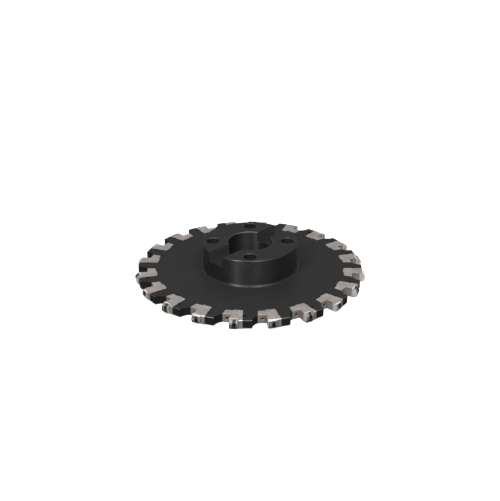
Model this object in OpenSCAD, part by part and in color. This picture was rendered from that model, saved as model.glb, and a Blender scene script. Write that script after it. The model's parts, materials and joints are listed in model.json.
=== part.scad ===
// Disc-type face and side milling cutter: a hubbed body, wedge-clamped cassettes and on-edge inserts.
// Millimetres. The cutter axis is Z and the lowest cutting edges lie at Z = 0. The hub points up.
// Seen from the hub the cutter turns clockwise. The drive slot runs along X.

/* [Cutting data] */
// Diameter over the insert tips
cutting_d = 317.5; // [315:0.5:320]
// Width between the upper and the lower cutting edges, with every cassette drawn in
cutting_w = 12.7; // [12.5:0.1:13]
// Number of teeth, alternately cutting above and below
teeth = 20; // [12:2:20]
// Angle from the drive slot to the rake face of the first tooth
first_rake_angle = -0.6; // [-9:0.1:9]

/* [Disc] */
// Diameter of the black rim between the teeth
disc_d = 309.2; // [307:0.2:309.4]
// Height of the disc's upper face
disc_top = 12.5; // [12.3:0.1:12.6]
// Height of the disc's lower face
disc_bottom = 1.1; // [0.8:0.1:2]
// Chamfer on the rim
rim_chamfer = 0.8; // [0.3:0.1:1.2]
// Radius of the chip gullets' back walls
gullet_r = 16; // [14:0.5:20]
// Angle from a rake face back to where its gullet leaves the rim
gullet_angle = 7.4; // [7:0.1:8]

/* [Hub] */
// Outer diameter of the hub
hub_d = 130; // [126:1:134]
// Height of the hub's face
hub_top = 50; // [45:0.5:60]
// Chamfer on the hub's face
hub_chamfer = 1; // [0.5:0.1:1.5]
// Fillet where the hub meets the disc
hub_fillet = 3; // [1:0.5:5]

/* [Spindle fit] */
// Diameter of the centring bore
bore_d = 60; // [55:1:60]
// Diameter of the bolt circle
bolt_circle_d = 101.6; // [100:0.1:102]
// Diameter of the bolt holes
bolt_hole_d = 18; // [16:0.5:18]
// Diameter of the counterbores for the bolt heads
counterbore_d = 26; // [24:0.5:26]
// Depth of the counterbores, from the lower face
counterbore_depth = 21; // [17:1:24]
// Width of the drive slot
slot_w = 25.7; // [25.4:0.1:26]
// Depth of the drive slot
slot_depth = 14; // [12:0.5:15]

/* [Cassettes] */
// Radius of a cassette's inner end
cassette_inner_r = 128.6; // [128:0.1:129]
// Radius of a cassette's outer face
cassette_outer_r = 154.8; // [154.4:0.1:155]
// Height of a cassette
cassette_h = 12.3; // [12:0.1:12.4]
// Width of a cassette at its inner end
cassette_foot_w = 12.85; // [12.5:0.05:13]
// Taper of a cassette's trailing side, in degrees
cassette_taper = 8.4; // [7:0.1:9]

/* [Clamping wedges] */
// Radius of a wedge's inner end
wedge_inner_r = 130.2; // [130:0.1:131]
// Radius of a wedge's outer end
wedge_outer_r = 141.7; // [141:0.1:142]
// Width of a wedge at its inner end
wedge_foot_w = 9.17; // [9:0.05:9.5]
// Taper of a wedge's leading side, in degrees
wedge_taper = 9.7; // [8:0.1:10]
// Diameter of the differential screw
wedge_screw_d = 6; // [5:0.5:6]

/* [Inserts] */
// Length of an insert around the rim
insert_w = 10.8; // [10.4:0.1:11]
// Height of an insert along the cutter axis
insert_h = 11.4; // [10.8:0.1:11.6]
// Thickness of an insert
insert_t = 7.4; // [7.2:0.1:7.8]
// Radius of the nose between the rim edge and the side edge
nose_r = 6.35; // [4:0.05:6.35]
// Clearance angle behind the cutting edge
relief_angle = 5; // [4:0.5:7]
// Diameter of the insert screw's thread
insert_screw_d = 3.5; // [3:0.1:3.6]

/* [Setting screws] */
// Diameter of the thread that engages a cassette's trailing side
setting_screw_d = 5.4; // [5:0.1:5.6]
// Radius of the setting screws' circle
setting_screw_r = 143; // [142:0.5:144]
// Angle from a rake face to its setting screw
setting_screw_angle = 6.75; // [6.7:0.05:6.8]

/* [Hidden] */
$fn = 96;
pitch_angle = 360 / teeth;
disc_r = disc_d / 2;
hub_r = hub_d / 2;
bore_r = bore_d / 2;
tip_r = cutting_d / 2;
disc_t = disc_top - disc_bottom;
disc_mid = (disc_top + disc_bottom) / 2;
cassette_bottom = (cutting_w - cassette_h) / 2;
cut = 0.01;            // overshoot of a cutting solid
slide_gap = 0.04;      // clearance beside a sliding cassette
floor_gap = 0.4;       // clearance under a cassette's inner end
wedge_travel = 0.8;    // room for a wedge to be drawn in
relief_r = 0.9;        // radius of the pocket corner reliefs
edge_chamfer = 1;      // chamfer on a cassette's outer edges
thread_gap = 0.05;     // radial clearance that stands for a thread
far = 12;              // reach of a cutting solid past the rim

// wedge screw
wedge_screw_y = -5.2;
wedge_screw_z = disc_mid;
wedge_screw_inner = 113.5;
wedge_screw_outer = 141;
wedge_screw_neck_r = 2.3;
wedge_screw_socket = 3;       // across flats
wedge_screw_socket_depth = 3;

// insert seat and screw, in the insert's own frame: X out of the face, Y back from the cutting edge
insert_low = cutting_w - insert_h;
insert_mid = cutting_w - insert_h / 2;
tip_setback = 0.1;
heel_fall = 1.2;       // how far the rim edge falls away from the nose to the insert's other end
screw_y = 6.6;
groove_r = 3;          // chip groove along the rake face
groove_depth = 0.65;
groove_x = -2.6;
back_slit_w = 1.2;
back_slit_low = 5.6;
seat_relief_r = 0.6;
screw_head_r = 2.35;
screw_head_top = -1.6;
screw_cone_top = -2.3;
screw_cone_bottom = -3.3;
screw_end = -13.5;
screw_socket_depth = 1.4;
countersink_r = 2.75;

// setting screw
setting_web = 2;       // thickness of the shoulder that a setting screw stands on
setting_recess = 0.3;
setting_pilot_r = 1.65;
setting_socket = 3;    // across flats
setting_socket_depth = 3;

// pull hole in the rake face of a cassette
pull_hole_d = 2.4;
pull_hole_r = 145.4;
pull_hole_z = 10.2;
pull_hole_depth = 2.5;

function number(k) = str(k + 1 < 10 ? "0" : "", k + 1);
function side(k) = k % 2 == 0 ? "upper" : "lower";
function cassette_name(k) = str(side(k), "_cassette_", number(k));
function insert_name(k) = str(side(k), "_insert_", number(k));
function trailing_y(x) = cassette_foot_w + (x - cassette_inner_r) * tan(cassette_taper);
function leading_y(x) = -wedge_foot_w - (x - wedge_inner_r) * tan(wedge_taper);
function upper(k) = k % 2 == 0;

// centre of the circle of radius r through a and b that lies to the left of the way from a to b
function arc_centre(a, b, r) =
    let (d = b - a, s = norm(d), h = sqrt(r * r - s * s / 4))
    (a + b) / 2 + h * [-d[1], d[0]] / s;

// corners of the gullet's back wall, in a tooth's frame
wedge_corner = [wedge_outer_r - 0.6, leading_y(wedge_outer_r - 0.6)];
rim_corner = disc_r * [cos(gullet_angle), -sin(gullet_angle)];
gullet_centre = arc_centre(wedge_corner, rim_corner, gullet_r);
setting_screw_xy = setting_screw_r * [cos(setting_screw_angle), sin(setting_screw_angle)];

// ---- frames ----

// puts its children at tooth k, whose rake face then lies along X
module tooth(k) {
    rotate([0, 0, first_rake_angle + k * pitch_angle]) children();
}

// turns an upper tooth's children upside down on a lower tooth
module hand(k) {
    if (upper(k)) children();
    else translate([0, 0, cutting_w]) mirror([0, 0, 1]) children();
}

// the same for what sits in the disc, which is not as thick as the cut
module disc_hand(k) {
    if (upper(k)) children();
    else translate([0, 0, 2 * disc_mid]) mirror([0, 0, 1]) children();
}

// frame of an insert: origin on its cutting edge, tilted back by the clearance angle
module insert_frame() {
    translate([tip_r, tip_setback, 0]) rotate([0, 0, relief_angle]) children();
}

// cylinder along +X from x0 to x1
module x_rod(x0, x1, r0, r1) {
    translate([x0, 0, 0]) rotate([0, 90, 0]) cylinder(h = x1 - x0, r1 = r0, r2 = r1);
}

// hexagonal prism of the given size across flats
module hexagon(across, h) {
    cylinder(h = h, d = across / cos(30), $fn = 6);
}

// ---- body ----

module body_profile() {
    polygon([
        [bore_r + hub_chamfer, disc_bottom],
        [disc_r - rim_chamfer, disc_bottom],
        [disc_r, disc_bottom + rim_chamfer],
        [disc_r, disc_top - rim_chamfer],
        [disc_r - rim_chamfer, disc_top],
        [hub_r, disc_top],
        [hub_r, hub_top - hub_chamfer],
        [hub_r - hub_chamfer, hub_top],
        [bore_r + hub_chamfer, hub_top],
        [bore_r, hub_top - hub_chamfer],
        [bore_r, disc_bottom + hub_chamfer]
    ]);
    difference() {
        translate([hub_r, disc_top]) square(hub_fillet);
        translate([hub_r + hub_fillet, disc_top + hub_fillet]) circle(hub_fillet);
    }
}

// plan of the pocket that holds a cassette and its wedge
module pocket_plan() {
    floor_x = cassette_inner_r - floor_gap;
    wedge_floor_x = wedge_inner_r - wedge_travel;
    end_x = disc_r + far;
    polygon([
        [floor_x, -0.3],
        [end_x, -0.3],
        [end_x, trailing_y(end_x) + slide_gap],
        [floor_x, trailing_y(floor_x) + slide_gap]
    ]);
    polygon([
        [wedge_floor_x, 0],
        [wedge_floor_x, leading_y(wedge_floor_x) - slide_gap],
        [end_x, leading_y(end_x) - slide_gap],
        [end_x, 0]
    ]);
    translate([floor_x + 0.3, trailing_y(floor_x) - 0.3]) circle(relief_r);
    translate([floor_x + 0.3, 0]) circle(relief_r);
    translate([wedge_floor_x + 0.3, leading_y(wedge_floor_x) + 0.3]) circle(relief_r);
    translate(gullet_centre) circle(gullet_r);
}

module setting_screw_hole(k) {
    translate([setting_screw_xy[0], setting_screw_xy[1], 0]) disc_hand(k) {
        translate([0, 0, disc_bottom + setting_web])
            cylinder(h = disc_t, r = setting_screw_d / 2 + thread_gap);
        translate([0, 0, disc_bottom - cut])
            cylinder(h = disc_t, r = setting_pilot_r + thread_gap);
    }
}

module bolt_holes() {
    for (a = [45 : 90 : 315])
        rotate([0, 0, a]) translate([bolt_circle_d / 2, 0, 0]) {
            translate([0, 0, disc_bottom - 1]) cylinder(h = hub_top, d = bolt_hole_d);
            translate([0, 0, disc_bottom - 1]) cylinder(h = counterbore_depth + 1, d = counterbore_d);
            translate([0, 0, hub_top - 0.5])
                cylinder(h = 0.5 + cut, r1 = bolt_hole_d / 2, r2 = bolt_hole_d / 2 + 0.5);
        }
}

module cutter_body() {
    color([0.17, 0.17, 0.17])
    difference() {
        rotate_extrude() body_profile();
        for (k = [0 : teeth - 1])
            tooth(k) {
                translate([0, 0, disc_bottom - 1]) linear_extrude(disc_t + 2) pocket_plan();
                translate([0, wedge_screw_y, wedge_screw_z])
                    x_rod(wedge_screw_inner - 1, wedge_inner_r, wedge_screw_d / 2 + thread_gap,
                          wedge_screw_d / 2 + thread_gap);
                setting_screw_hole(k);
            }
        bolt_holes();
        translate([-hub_r - 1, -slot_w / 2, hub_top - slot_depth]) cube([hub_d + 2, slot_w, slot_depth + 1]);
    }
}

// ---- clamping ----

module clamping_wedge() {
    difference() {
        translate([0, 0, disc_bottom]) linear_extrude(disc_t)
            polygon([
                [wedge_inner_r, leading_y(wedge_inner_r) + 0.6],
                [wedge_inner_r + 0.6, leading_y(wedge_inner_r + 0.6)],
                wedge_corner,
                [wedge_outer_r, -slide_gap],
                [wedge_inner_r + 1, -slide_gap],
                [wedge_inner_r, -slide_gap - 1]
            ]);
        translate([0, wedge_screw_y, wedge_screw_z])
            x_rod(wedge_inner_r - 1, wedge_outer_r + 1, wedge_screw_d / 2 + thread_gap,
                  wedge_screw_d / 2 + thread_gap);
    }
}

module wedge_screw() {
    neck_in = wedge_inner_r - wedge_travel - 1;
    neck_out = wedge_inner_r + 1;
    screw_r = wedge_screw_d / 2;
    translate([0, wedge_screw_y, wedge_screw_z])
    difference() {
        union() {
            x_rod(wedge_screw_inner, wedge_screw_inner + 0.6, screw_r - 0.6, screw_r);
            x_rod(wedge_screw_inner + 0.6, neck_in, screw_r, screw_r);
            x_rod(neck_in, neck_out, wedge_screw_neck_r, wedge_screw_neck_r);
            x_rod(neck_out, wedge_screw_outer - 0.4, screw_r, screw_r);
            x_rod(wedge_screw_outer - 0.4, wedge_screw_outer, screw_r, screw_r - 0.4);
        }
        translate([wedge_screw_outer - wedge_screw_socket_depth, 0, 0]) rotate([0, 90, 0])
            hexagon(wedge_screw_socket, wedge_screw_socket_depth + 1);
    }
}

module clamping_wedges() {
    color([0.67, 0.64, 0.62])
    for (k = [0 : teeth - 1]) tooth(k) clamping_wedge();
}

module wedge_screws() {
    color([0.55, 0.53, 0.51])
    for (k = [0 : teeth - 1]) tooth(k) wedge_screw();
}

module setting_screw() {
    low = disc_bottom + setting_web;
    high = disc_top - setting_recess;
    difference() {
        union() {
            translate([0, 0, low]) cylinder(h = high - low - 0.4, d = setting_screw_d);
            translate([0, 0, high - 0.4])
                cylinder(h = 0.4, r1 = setting_screw_d / 2, r2 = setting_screw_d / 2 - 0.4);
            translate([0, 0, disc_bottom + setting_recess])
                cylinder(h = setting_web, r = setting_pilot_r);
        }
        translate([0, 0, high - setting_socket_depth]) hexagon(setting_socket, setting_socket_depth + 1);
    }
}

module setting_screws() {
    color([0.12, 0.12, 0.12])
    for (k = [0 : teeth - 1])
        tooth(k)
            translate([setting_screw_xy[0], setting_screw_xy[1], 0]) disc_hand(k) setting_screw();
}

// ---- teeth ----

module cassette_plan() {
    end_x = tip_r;
    polygon([
        [cassette_inner_r, 1],
        [cassette_inner_r + 1, 0],
        [end_x, 0],
        [end_x, trailing_y(end_x)],
        [cassette_inner_r + 1, trailing_y(cassette_inner_r + 1)],
        [cassette_inner_r, trailing_y(cassette_inner_r) - 1]
    ]);
}

// round blank with chamfered edges that gives a cassette its outer face
module cassette_blank() {
    translate([0, 0, cassette_bottom]) {
        cylinder(h = edge_chamfer, r1 = cassette_outer_r - edge_chamfer, r2 = cassette_outer_r);
        translate([0, 0, edge_chamfer]) cylinder(h = cassette_h - 2 * edge_chamfer, r = cassette_outer_r);
        translate([0, 0, cassette_h - edge_chamfer])
            cylinder(h = edge_chamfer, r1 = cassette_outer_r, r2 = cassette_outer_r - edge_chamfer);
    }
}

// room for the insert, the slit behind it and the hole for its screw
module insert_seat() {
    insert_frame() {
        translate([-insert_t, -far, insert_low]) cube([insert_t + far, far + insert_w, insert_h + 1]);
        translate([-insert_t + 0.6, insert_w - cut, back_slit_low])
            cube([insert_t + far, back_slit_w, insert_h + 1]);
        translate([-insert_t, insert_w, insert_low]) cylinder(h = insert_h + 1, r = seat_relief_r);
        translate([0, screw_y, insert_mid])
            x_rod(screw_end - 0.5, 0, insert_screw_d / 2 + thread_gap, insert_screw_d / 2 + thread_gap);
    }
}

module cassette(k) {
    color([0.67, 0.64, 0.62])
    tooth(k)
    difference() {
        hand(k)
        difference() {
            intersection() {
                translate([0, 0, cassette_bottom]) linear_extrude(cassette_h) cassette_plan();
                cassette_blank();
            }
            insert_seat();
        }
        translate([setting_screw_xy[0], setting_screw_xy[1], -1])
            cylinder(h = cutting_w + 2, r = setting_screw_d / 2 + 2 * thread_gap);
        translate([pull_hole_r, -1, pull_hole_z]) rotate([-90, 0, 0])
            cylinder(h = 1 + pull_hole_depth, d = pull_hole_d);
    }
}

// section of an insert across its thickness: the nose radius above, and below it the edge that falls away
module insert_section() {
    nose_z = cutting_w - nose_r;
    polygon([[-insert_t, insert_low], [-heel_fall, insert_low], [0, nose_z], [-insert_t, nose_z]]);
    translate([-insert_t, nose_z - cut]) square([insert_t - nose_r, nose_r + cut]);
    translate([-nose_r, nose_z]) intersection() {
        circle(nose_r);
        translate([-cut, -cut]) square(nose_r + 1);
    }
}

module insert_blank() {
    translate([0, insert_w, 0]) rotate([90, 0, 0]) linear_extrude(insert_w) insert_section();
}

module insert_hole() {
    hole_r = insert_screw_d / 2 + 0.2;
    head_room = screw_head_r + 0.1;
    translate([0, screw_y, insert_mid]) {
        x_rod(-insert_t - 1, screw_cone_top, hole_r, hole_r);
        x_rod(screw_cone_bottom - 0.1, screw_cone_top - 0.1, hole_r, head_room);
        x_rod(screw_cone_top - 0.1, cut, head_room, head_room);
        x_rod(-(countersink_r - head_room), cut, head_room, countersink_r + cut);
    }
}

// six-lobed socket
module star_socket(h) {
    linear_extrude(h) {
        circle(r = 0.95);
        for (a = [0 : 60 : 300]) rotate(a) translate([0.95, 0]) circle(r = 0.36);
    }
}

module insert_screw() {
    r = insert_screw_d / 2;
    translate([0, screw_y, insert_mid])
    difference() {
        union() {
            x_rod(screw_end, screw_end + 0.5, r - 0.5, r);
            x_rod(screw_end + 0.5, screw_cone_bottom, r, r);
            x_rod(screw_cone_bottom, screw_cone_top, r, screw_head_r);
            x_rod(screw_cone_top, screw_head_top - 0.3, screw_head_r, screw_head_r);
            x_rod(screw_head_top - 0.3, screw_head_top, screw_head_r, screw_head_r - 0.3);
        }
        translate([screw_head_top - screw_socket_depth, 0, 0]) rotate([0, 90, 0])
            star_socket(screw_socket_depth + 1);
    }
}

module insert(k) {
    tooth(k) hand(k) insert_frame() {
        color([0.36, 0.34, 0.33])
        difference() {
            insert_blank();
            translate([groove_x, -(groove_r - groove_depth), -1]) cylinder(h = cutting_w + 2, r = groove_r);
            insert_hole();
        }
        color([0.1, 0.1, 0.1]) insert_screw();
    }
}

cutter_body();
clamping_wedges();
wedge_screws();
setting_screws();
for (k = [0 : teeth - 1]) cassette(k);
for (k = [0 : teeth - 1]) insert(k);
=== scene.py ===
import json
import math

import bpy
import numpy as np
from mathutils import Matrix, Vector


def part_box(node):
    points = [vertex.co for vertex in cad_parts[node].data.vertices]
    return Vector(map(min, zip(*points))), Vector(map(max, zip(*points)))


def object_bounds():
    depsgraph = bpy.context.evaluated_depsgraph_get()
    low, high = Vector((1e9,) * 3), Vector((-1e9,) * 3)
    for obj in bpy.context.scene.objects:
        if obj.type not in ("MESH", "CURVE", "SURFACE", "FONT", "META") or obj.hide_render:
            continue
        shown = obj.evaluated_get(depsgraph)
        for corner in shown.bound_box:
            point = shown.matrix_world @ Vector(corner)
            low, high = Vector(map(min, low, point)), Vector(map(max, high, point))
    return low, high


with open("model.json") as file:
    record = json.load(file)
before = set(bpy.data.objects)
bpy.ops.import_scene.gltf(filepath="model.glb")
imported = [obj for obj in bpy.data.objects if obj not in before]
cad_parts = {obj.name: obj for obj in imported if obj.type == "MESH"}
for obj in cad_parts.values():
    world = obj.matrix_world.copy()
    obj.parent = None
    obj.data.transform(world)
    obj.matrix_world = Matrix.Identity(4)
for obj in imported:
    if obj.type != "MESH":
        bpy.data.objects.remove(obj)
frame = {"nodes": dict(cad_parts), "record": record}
box_lo, box_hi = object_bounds()
scene = bpy.context.scene
nodes = frame["nodes"]

# ---------------------------------------------------------------- places, in metres and degrees
TEETH = sum("insert" in name for name in nodes)
PITCH = 360.0 / TEETH
FIRST_RAKE = -0.6  # from +X to the first tooth's rake face

wedges_lo, wedges_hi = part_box("clamping_wedges")
DISC_TOP = wedges_hi.z  # the wedges are level with both faces of the disc
DISC_MID = (wedges_lo.z + wedges_hi.z) / 2
HUB_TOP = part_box("cutter_body")[1].z

# Zones of the body. Their limits lie between its features, so a polygon's place tells its feature.
mounts = {m["name"]: m["dims"] for m in frame["record"]["mounts"]}
bore_r = mounts["centring_bore"]["r_mm"] / 1000
holes_r = (mounts["bolt_holes"]["pcd_mm"] / 2 + mounts["bolt_holes"]["hole_r_mm"]) / 1000
BORE_ZONE = bore_r + 0.0015  # the bore and its chamfers lie inside
HOLES_ZONE = holes_r + 0.0027  # the bolt holes and their chamfers lie inside, the hub's edge outside
HUB_ZONE = (0.0640, 0.0690)  # the hub's side and the fillet at its foot
TEETH_ZONE = 0.126  # pockets, gullets and the rim lie outside
RIM_ZONE = 0.1530  # the rim's chamfers are the only sloping faces outside
SLOT_HALF = 0.01285  # half the drive slot's width
SLOT_RISE = 0.020  # less than the height of the drive slot's floor above the disc
EDGE = 0.0012  # more than the height of the chamfers on the hub's face

SCREW_AHEAD = 0.0052  # from a rake face to the axis of its wedge screw
SCREW_ANGLE = 2.1  # the same, as an angle at the screw's outer end
SOCKET_R = 0.00172  # around a wedge screw's axis, its socket lies inside and its end face outside
SOCKET_ZONE = 0.13  # the sockets lie outside, the screws' inner ends inside
INSERT_HOLE_R = 0.0030  # an insert's screw hole and its countersink lie inside

# The coated strip on an insert's outer face: angles behind the rake face between which it fades
STRIP_START = (1.55, 1.70)
STRIP_END = (3.15, 3.30)


# ---------------------------------------------------------------- node helpers
class Tree:
    """A material and short calls that build its node tree."""

    def __init__(self, name):
        self.mat = bpy.data.materials.new(name)
        self.mat.use_nodes = True
        self.nt = self.mat.node_tree
        self.nt.nodes.clear()
        out = self.nt.nodes.new("ShaderNodeOutputMaterial")
        self.bsdf = self.nt.nodes.new("ShaderNodeBsdfPrincipled")
        self.link(self.bsdf.outputs[0], out.inputs["Surface"])

    def link(self, a, b):
        self.nt.links.new(a, b)

    def put(self, socket, value):
        if hasattr(value, "is_output"):
            self.link(value, socket)
        else:
            socket.default_value = value

    def set(self, **values):
        for key, value in values.items():
            self.put(self.bsdf.inputs[key.replace("_", " ")], value)

    def calc(self, op, *values, clamp=False):
        n = self.nt.nodes.new("ShaderNodeMath")
        n.operation = op
        n.use_clamp = clamp
        for i, v in enumerate(values):
            self.put(n.inputs[i], v)
        return n.outputs[0]

    def vector_calc(self, op, *values, out=0):
        n = self.nt.nodes.new("ShaderNodeVectorMath")
        n.operation = op
        for i, v in enumerate(values):
            self.put(n.inputs[i], v)
        return n.outputs[out]

    def coords(self):
        return self.nt.nodes.new("ShaderNodeTexCoord").outputs["Object"]

    def split(self, vector):
        n = self.nt.nodes.new("ShaderNodeSeparateXYZ")
        self.link(vector, n.inputs[0])
        return n.outputs

    def join(self, x=0.0, y=0.0, z=0.0):
        n = self.nt.nodes.new("ShaderNodeCombineXYZ")
        for i, v in enumerate((x, y, z)):
            self.put(n.inputs[i], v)
        return n.outputs[0]

    def noise(self, vector, scale, detail=3.0, rough=0.5, distortion=0.0):
        n = self.nt.nodes.new("ShaderNodeTexNoise")
        self.link(vector, n.inputs["Vector"])
        n.inputs["Scale"].default_value = scale
        n.inputs["Detail"].default_value = detail
        n.inputs["Roughness"].default_value = rough
        n.inputs["Distortion"].default_value = distortion
        return n.outputs["Fac"]

    def ramp(self, value, lo, hi, a=0.0, b=1.0):
        """a where the value is lo, b where it is hi, and held beyond them."""
        n = self.nt.nodes.new("ShaderNodeMapRange")
        n.clamp = True
        self.put(n.inputs["Value"], value)
        n.inputs["From Min"].default_value = lo
        n.inputs["From Max"].default_value = hi
        n.inputs["To Min"].default_value = a
        n.inputs["To Max"].default_value = b
        return n.outputs["Result"]

    def mix(self, factor, a, b):
        n = self.nt.nodes.new("ShaderNodeMix")
        n.data_type = "RGBA"
        self.put(n.inputs["Factor"], factor)
        for socket, v in ((n.inputs[6], a), (n.inputs[7], b)):
            self.put(socket, v if hasattr(v, "is_output") else (*v, 1.0))
        return n.outputs[2]

    def mix_values(self, factor, a, b):
        n = self.nt.nodes.new("ShaderNodeMix")
        n.data_type = "FLOAT"
        self.put(n.inputs["Factor"], factor)
        self.put(n.inputs[2], a)
        self.put(n.inputs[3], b)
        return n.outputs[0]

    def bump(self, height, strength, distance, normal=None):
        n = self.nt.nodes.new("ShaderNodeBump")
        n.inputs["Strength"].default_value = strength
        n.inputs["Distance"].default_value = distance
        self.link(height, n.inputs["Height"])
        if normal is not None:
            self.link(normal, n.inputs["Normal"])
        return n.outputs[0]

    def normal(self):
        return self.nt.nodes.new("ShaderNodeNewGeometry").outputs["Normal"]

    def edges(self, radius, sharp):
        """1 along convex and concave edges, 0 on open faces."""
        n = self.nt.nodes.new("ShaderNodeBevel")
        n.samples = 6
        n.inputs["Radius"].default_value = radius
        dot = self.vector_calc("DOT_PRODUCT", n.outputs[0], self.normal(), out=1)
        return self.ramp(dot, 0.995, sharp)

    def around_axis(self):
        n = self.nt.nodes.new("ShaderNodeTangent")
        n.direction_type = "RADIAL"
        n.axis = "Z"
        return n.outputs[0]


def shade(tone, factor):
    return tuple(c * factor for c in tone)


def tool_marks(t, p, fine, coarse):
    """Marks of turning or rotary grinding: rings on the flat faces, hoops on the round walls."""
    x, y, z = t.split(p)
    radius = t.vector_calc("LENGTH", t.join(x, y), out=1)
    flat = t.ramp(t.calc("ABSOLUTE", t.split(t.normal())[2]), 0.55, 0.85)
    along = t.mix_values(flat, z, radius)
    wander = t.calc("MULTIPLY", t.noise(p, 9.0, 2.0), 0.00035)
    place = t.calc("ADD", along, wander)
    narrow = t.noise(t.join(place), fine, 2.0, 0.6)
    wide = t.noise(t.join(place, 3.1), coarse, 2.0, 0.5)
    return t.calc("ADD", t.calc("MULTIPLY", narrow, 0.6), t.calc("MULTIPLY", wide, 0.4))


# ---------------------------------------------------------------- materials
# In each, t is the material's tree and p the shaded point in metres. Noise scales are per metre:
# 38 gives clouds of about 26 mm, and 5200 a grain of about 0.2 mm.
BARE_STEEL = (0.25, 0.24, 0.23)
HANDLED_NICKEL = (0.30, 0.265, 0.235)
POLISHED_NICKEL = (0.78, 0.76, 0.74)
BARE_CARBIDE = (0.62, 0.60, 0.58)


def black_oxide(name, grey, rough, gloss, brushed=0.0):
    """Blackened steel with tool marks, cloudy tone and edges that are worn in places."""
    t = Tree(name)
    p = t.coords()
    tone = (grey, grey, grey)
    lines = tool_marks(t, p, 3800.0, 700.0)
    cloud = t.noise(p, 38.0, 4.0, 0.55, 0.4)
    blotch = t.noise(p, 160.0, 3.0, 0.6)
    grain = t.noise(p, 5200.0, 2.0)
    base = t.mix(t.ramp(cloud, 0.33, 0.67), shade(tone, 0.91), shade(tone, 1.09))
    base = t.mix(t.ramp(blotch, 0.45, 0.75, 0.0, 0.20), base, shade(tone, 0.80))
    base = t.mix(t.ramp(lines, 0.42, 0.62, 0.0, 0.22), base, shade(tone, 1.5))
    patches = t.ramp(t.noise(p, 420.0, 3.0, 0.7), 0.40, 0.62)
    worn = t.calc("MULTIPLY", t.edges(0.00045, 0.90), patches, clamp=True)
    base = t.mix(t.calc("MULTIPLY", worn, 0.35), base, BARE_STEEL)
    clouded = t.ramp(cloud, 0.3, 0.7, rough - 0.05, rough + 0.06)
    marked = t.calc("ADD", clouded, t.ramp(lines, 0.35, 0.65, -0.04, 0.05))
    roughness = t.calc("ADD", marked, t.ramp(grain, 0.3, 0.7, -0.02, 0.02))
    normal = t.bump(grain, 0.25, 0.00001, t.bump(lines, 0.35, 0.00003))
    t.set(Base_Color=base, Roughness=roughness, Normal=normal)
    t.set(Metallic=t.calc("MULTIPLY", worn, 0.8), Specular_IOR_Level=gloss)
    if brushed:
        t.set(Anisotropic=brushed, Anisotropic_Rotation=0.25, Tangent=t.around_axis())
    return t.mat


def nickel(name, tone, rough):
    """Satin nickel with fine grinding lines, smears from handling and brighter edges."""
    t = Tree(name)
    p = t.coords()
    lines = tool_marks(t, p, 5200.0, 1100.0)
    cloud = t.noise(p, 90.0, 4.0, 0.6, 0.5)
    smear = t.noise(p, 320.0, 3.0, 0.65)
    grain = t.noise(p, 7000.0, 2.0)
    base = t.mix(t.ramp(cloud, 0.32, 0.68), shade(tone, 0.84), shade(tone, 1.08))
    base = t.mix(t.ramp(smear, 0.52, 0.78, 0.0, 0.30), base, HANDLED_NICKEL)
    base = t.mix(t.ramp(lines, 0.40, 0.60, 0.0, 0.18), base, shade(tone, 0.70))
    edge = t.edges(0.00035, 0.90)
    base = t.mix(t.calc("MULTIPLY", edge, 0.45), base, POLISHED_NICKEL)
    clouded = t.ramp(cloud, 0.3, 0.7, rough - 0.05, rough + 0.07)
    marked = t.calc("ADD", clouded, t.ramp(lines, 0.35, 0.65, -0.05, 0.06))
    roughness = t.calc("SUBTRACT", marked, t.calc("MULTIPLY", edge, 0.08))
    normal = t.bump(grain, 0.20, 0.00001, t.bump(lines, 0.40, 0.00003))
    t.set(Base_Color=base, Roughness=roughness, Normal=normal, Metallic=0.75)
    return t.mat


def coated_strip(t, p):
    """1 on the strip across every insert's outer face, 0 on the ground margins beside it."""
    x, y, _ = t.split(p)
    zero = math.radians(FIRST_RAKE - 360.0)  # a full turn back, because MODULO needs positive angles
    turn = t.calc("SUBTRACT", t.calc("ARCTAN2", y, x), zero)
    past_rake = t.calc("MODULO", turn, math.radians(PITCH))
    waver = 0.0012
    wavy = t.calc("ADD", past_rake, t.calc("MULTIPLY", t.noise(p, 900.0, 2.0), waver))
    start_lo, start_hi = (math.radians(a) + waver / 2 for a in STRIP_START)
    end_lo, end_hi = (math.radians(a) + waver / 2 for a in STRIP_END)
    return t.calc("MULTIPLY", t.ramp(wavy, start_lo, start_hi), t.ramp(wavy, end_hi, end_lo))


def carbide(name, tone, rough, polish, metal, margins=None):
    """Sintered carbide. With margins, the tone is only on the strip and the margins have their own."""
    t = Tree(name)
    p = t.coords()
    grain = t.noise(p, 9000.0, 3.0, 0.6)
    cloud = t.noise(p, 240.0, 3.0, 0.55)
    lines = t.noise(t.vector_calc("MULTIPLY", p, (1.0, 1.0, 9.0)), 1400.0, 2.0)
    base = t.mix(t.ramp(cloud, 0.3, 0.7), shade(tone, 0.75), shade(tone, 1.30))
    base = t.mix(t.ramp(grain, 0.5, 0.75, 0.0, 0.35), base, shade(tone, 1.6))
    if margins is not None:
        ground = t.mix(t.ramp(cloud, 0.3, 0.7), shade(margins, 0.9), shade(margins, 1.1))
        base = t.mix(coated_strip(t, p), ground, base)
    base = t.mix(t.calc("MULTIPLY", t.edges(0.0003, 0.88), polish), base, BARE_CARBIDE)
    roughness = t.ramp(t.calc("ADD", grain, lines), 0.7, 1.3, rough - 0.07, rough + 0.09)
    normal = t.bump(grain, 0.30, 0.00001, t.bump(lines, 0.25, 0.00001))
    t.set(Base_Color=base, Roughness=roughness, Normal=normal, Metallic=metal)
    return t.mat


def floor_material():
    t = Tree("floor")
    patches = t.ramp(t.noise(t.coords(), 1.5, 2.0), 0.3, 0.7)
    base = t.mix(patches, (0.88, 0.88, 0.88), (0.91, 0.91, 0.91))
    t.set(Base_Color=base, Roughness=0.7, Emission_Color=base, Emission_Strength=0.35)
    return t.mat


COATED = (0.045, 0.042, 0.039)
GROUND_MARGINS = (0.25, 0.239, 0.228)
GROUND = (0.60, 0.58, 0.555)

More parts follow.
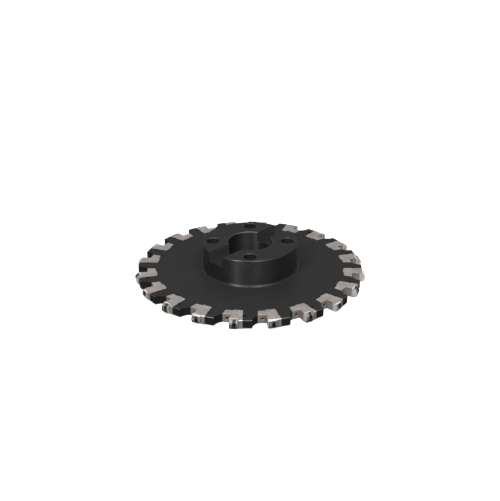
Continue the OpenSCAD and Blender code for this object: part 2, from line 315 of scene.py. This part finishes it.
MATERIALS = {
    "body": black_oxide("black_oxide_body", 0.0145, rough=0.42, gloss=0.10, brushed=0.6),
    "turned": black_oxide("black_oxide_turned", 0.0070, rough=0.40, gloss=0.52, brushed=0.9),
    "milled": black_oxide("black_oxide_milled", 0.012, rough=0.60, gloss=0.10),
    # The drive slot's walls: black oxide at twice the body's tone, which is painted light where the lamps
    # bring too little, with its own roughness and gloss.
    "slot_wall_painted_light": black_oxide("black_oxide_slot_wall_painted_light", 0.030, rough=0.50, gloss=0.25),
    # Chamfers: a glossier finish, and a tone nearly twice the body's that is a painted highlight.
    "chamfer": black_oxide("black_oxide_chamfer", 0.027, rough=0.36, gloss=0.50),
    "nickel": nickel("satin_nickel", (0.415, 0.381, 0.360), rough=0.48),
    "wedge_screw": nickel("nickel_screw", (0.50, 0.47, 0.45), rough=0.33),
    "setting_screw": black_oxide("black_oxide_screw", 0.005, rough=0.50, gloss=0.08),
    "coated": carbide("coated_carbide", COATED, rough=0.62, polish=0.20, metal=0.85,
                      margins=GROUND_MARGINS),
    "ground": carbide("ground_carbide", GROUND, rough=0.50, polish=0.10, metal=0.5),
    "insert_screw": black_oxide("insert_screw_steel", 0.005, rough=0.45, gloss=0.10),
}


# ---------------------------------------------------------------- CAD nodes
def body_look(polygon):
    """The material of one polygon of the cutter's body."""
    c, n = polygon.center, polygon.normal
    r = c.xy.length
    facing_axis = abs(n.x * c.x + n.y * c.y) / max(r, 1e-6) > 0.2
    above_disc = c.z > DISC_TOP + 0.000001 and n.z < 0.9995
    # Chamfers on the rim, the bolt holes and the bore take the lighter tone that is a painted highlight.
    if 0.3 < abs(n.z) < 0.95 and (r > RIM_ZONE or (c.z > HUB_TOP - EDGE and r < HOLES_ZONE)):
        return "chamfer"
    # The drive slot's walls take the lighter tone that is painted light.
    if abs(abs(c.y) - SLOT_HALF) < 0.0001 and c.z > DISC_TOP + SLOT_RISE and abs(n.y) > 0.999:
        return "slot_wall_painted_light"
    if (HUB_ZONE[0] < r < HUB_ZONE[1] and above_disc) or (r < BORE_ZONE and facing_axis):
        return "turned"
    slot_floor = DISC_TOP + SLOT_RISE < c.z < HUB_TOP - EDGE / 2 and n.z > 0.99
    if slot_floor and abs(c.y) < SLOT_HALF + 0.00025:
        return "milled"
    return "milled" if r > TEETH_ZONE and abs(n.z) < 0.5 else "body"


def wedge_screw_look(polygon):
    """The material of one polygon of the wedge screws: dark inside a socket, bright elsewhere."""
    c = polygon.center
    turn = math.degrees(math.atan2(c.y, c.x)) - FIRST_RAKE
    rake = math.radians(FIRST_RAKE + round((turn + SCREW_ANGLE) / PITCH) * PITCH)  # the screw's own tooth
    across = c.y * math.cos(rake) - c.x * math.sin(rake) + SCREW_AHEAD
    in_socket = math.hypot(across, c.z - DISC_MID) < SOCKET_R and c.xy.length > SOCKET_ZONE
    return "insert_screw" if in_socket else "wedge_screw"


def islands(mesh):
    """Lists of polygon indices, one list per separate solid of a mesh whose corners may be split."""
    first_at = {}
    parent = list(range(len(mesh.polygons)))

    def root(i):
        while parent[i] != i:
            parent[i] = parent[parent[i]]
            i = parent[i]
        return i

    for p in mesh.polygons:
        for v in p.vertices:
            place = tuple(round(c * 1e6) for c in mesh.vertices[v].co)
            if place in first_at:
                parent[root(p.index)] = root(first_at[place])
            else:
                first_at[place] = p.index
    groups = {}
    for p in mesh.polygons:
        groups.setdefault(root(p.index), []).append(p.index)
    return list(groups.values())


def insert_looks(mesh):
    """The material of every polygon of an insert and its screw, which is the solid nearer the axis."""

    def points(ids):
        return np.array([mesh.vertices[v].co[:] for i in ids for v in mesh.polygons[i].vertices])

    def reach(ids):
        return np.hypot(*points(ids)[:, :2].T).max()

    screw, stone = sorted(islands(mesh), key=reach)
    pts = points(screw)
    mid = (pts.max(0) + pts.min(0)) / 2
    axis = np.linalg.svd(pts - pts.mean(0), full_matrices=False)[2][0]
    axis = axis if axis @ (mid * (1, 1, 0)) > 0 else -axis
    looks = dict.fromkeys(screw, "insert_screw")
    for i in stone:
        n = np.array(mesh.polygons[i].normal)
        off = np.array(mesh.polygons[i].center) - mid
        off -= axis * (off @ axis)
        in_hole = np.linalg.norm(off) < INSERT_HOLE_R and -0.5 < n @ axis < 0.75
        rake_or_back = abs(n @ np.cross(axis, (0, 0, 1))) > 0.5
        outer_or_nose = n @ axis > 0.12 and not rake_or_back
        looks[i] = "coated" if in_hole or outer_or_nose else "ground"
    return looks


def finish_node(node, names, bevel, clamp=False):
    """Gives a node its materials, small round edges and even shading. Its vertices stay as imported."""
    node.data.materials.clear()
    for name in names:
        node.data.materials.append(MATERIALS[name])
    node.data.shade_smooth()
    weld = node.modifiers.new("weld", "WELD")
    weld.merge_threshold = 0.000002
    edges = node.modifiers.new("edges", "BEVEL")
    edges.width = bevel
    edges.segments = 2
    edges.limit_method = "ANGLE"
    edges.angle_limit = math.radians(32)
    edges.use_clamp_overlap = clamp
    edges.miter_outer = "MITER_ARC"
    normals = node.modifiers.new("normals", "WEIGHTED_NORMAL")
    normals.keep_sharp = False
    normals.weight = 90


def paint(node, names, look_of):
    for polygon in node.data.polygons:
        polygon.material_index = names.index(look_of(polygon))


BODY_LOOKS = ["body", "milled", "turned", "chamfer", "slot_wall_painted_light"]
WEDGE_SCREW_LOOKS = ["wedge_screw", "insert_screw"]
INSERT_LOOKS = ["coated", "insert_screw", "ground"]

for name, node in nodes.items():
    if name == "cutter_body":
        finish_node(node, BODY_LOOKS, bevel=0.00018)
        paint(node, BODY_LOOKS, body_look)
    elif name == "clamping_wedges":
        finish_node(node, ["nickel"], bevel=0.00018)
    elif name == "wedge_screws":
        finish_node(node, WEDGE_SCREW_LOOKS, bevel=0.00008)
        paint(node, WEDGE_SCREW_LOOKS, wedge_screw_look)
    elif name == "setting_screws":
        finish_node(node, ["setting_screw"], bevel=0.00008)
    elif "cassette" in name:
        finish_node(node, ["nickel"], bevel=0.00012, clamp=True)
    elif "insert" in name:
        finish_node(node, INSERT_LOOKS, bevel=0.00016)
        looks = insert_looks(node.data)
        paint(node, INSERT_LOOKS, lambda polygon: looks[polygon.index])


# ---------------------------------------------------------------- stage
FLOOR_REACH = 14.0
FLOOR_GAP = 0.0001  # under the lowest cutting edges

mesh = bpy.data.meshes.new("floor")
corners = [(x * FLOOR_REACH, y * FLOOR_REACH, 0) for x, y in ((-1, -1), (1, -1), (1, 1), (-1, 1))]
mesh.from_pydata(corners, [], [(0, 1, 2, 3)])
mesh.materials.append(floor_material())
floor = bpy.data.objects.new("floor", mesh)
scene.collection.objects.link(floor)
floor.location.z = box_lo.z - FLOOR_GAP
# It takes shadows, but it doesn't light the object, show in its reflections or block light.
floor.visible_glossy = False
floor.visible_diffuse = False
floor.visible_shadow = False

AZIMUTH = math.radians(-45.0)
ELEVATION = math.radians(26.09)
TILT = math.radians(0.954)  # raises the aim a little above the disc's centre
DISTANCE = 1.225

centre = Vector(((box_lo.x + box_hi.x) / 2, (box_lo.y + box_hi.y) / 2, DISC_TOP))
back = Vector((math.sin(AZIMUTH) * math.cos(ELEVATION), -math.cos(AZIMUTH) * math.cos(ELEVATION),
               math.sin(ELEVATION)))
right = Vector((math.cos(AZIMUTH), math.sin(AZIMUTH), 0.0))
ahead = Vector((-back.x, -back.y, 0.0)).normalized()

camera = bpy.data.objects.new("camera", bpy.data.cameras.new("camera"))
camera.data.lens = 63.43
camera.data.sensor_width = 36.0
camera.data.clip_start = 0.05
camera.data.clip_end = 60.0
scene.collection.objects.link(camera)
camera.location = centre + back * DISTANCE
camera.rotation_mode = "QUATERNION"
camera.rotation_quaternion = (Matrix.Rotation(TILT, 3, right) @ -back).to_track_quat("-Z", "Y")
scene.camera = camera


def at(x, y, z):
    """A point given as right, away and up from the disc's centre, as the camera sees them."""
    return centre + right * x + ahead * y + Vector((0, 0, z))


def area_light(name, place, target, size, power):
    light = bpy.data.objects.new(name, bpy.data.lights.new(name, "AREA"))
    light.data.shape = "SQUARE"
    light.data.size = size
    light.data.energy = power
    scene.collection.objects.link(light)
    light.location = place
    light.rotation_mode = "QUATERNION"
    light.rotation_quaternion = (target - place).to_track_quat("-Z", "Y")


area_light("key_left", at(-0.60, -0.85, 0.95), centre, 0.30, 12.5)
area_light("key_high", at(0.34, -0.72, 1.20), at(0.08, -0.10, 0.0), 0.25, 5.5)
area_light("floor_wash", at(0.5, -1.4, 2.9), at(0.1, -0.3, 0), 3.6, 75.0)


# Grey of the studio around the object by height: 0 is straight down, 0.5 level. Straight up is white.
STUDIO = ((0.0, 0.30), (0.49, 0.12), (0.5, 0.42), (0.56, 0.38), (0.66, 0.12))
STUDIO_TINT = (0.98, 0.98, 1.0)


def studio_world():
    world = bpy.data.worlds.new("studio")
    world.use_nodes = True
    tree = world.node_tree
    direction = tree.nodes.new("ShaderNodeTexCoord")
    split = tree.nodes.new("ShaderNodeSeparateXYZ")
    height = tree.nodes.new("ShaderNodeMapRange")  # from -1 to 1 into 0 to 1
    height.inputs["From Min"].default_value = -1.0
    levels = tree.nodes.new("ShaderNodeValToRGB")
    tree.links.new(direction.outputs["Generated"], split.inputs[0])
    tree.links.new(split.outputs["Z"], height.inputs["Value"])
    tree.links.new(height.outputs["Result"], levels.inputs["Fac"])
    tree.links.new(levels.outputs["Color"], tree.nodes["Background"].inputs["Color"])
    stops = levels.color_ramp.elements
    stops[-1].color = (1.0, 1.0, 1.0, 1.0)
    for place, grey in STUDIO:
        stop = stops[0] if place == 0.0 else stops.new(place)
        stop.color = (*shade(STUDIO_TINT, grey), 1.0)
    return world


scene.world = studio_world()
scene.view_settings.view_transform = "Standard"
scene.view_settings.look = "None"
scene.view_settings.exposure = 0.0
scene.view_settings.gamma = 1.0
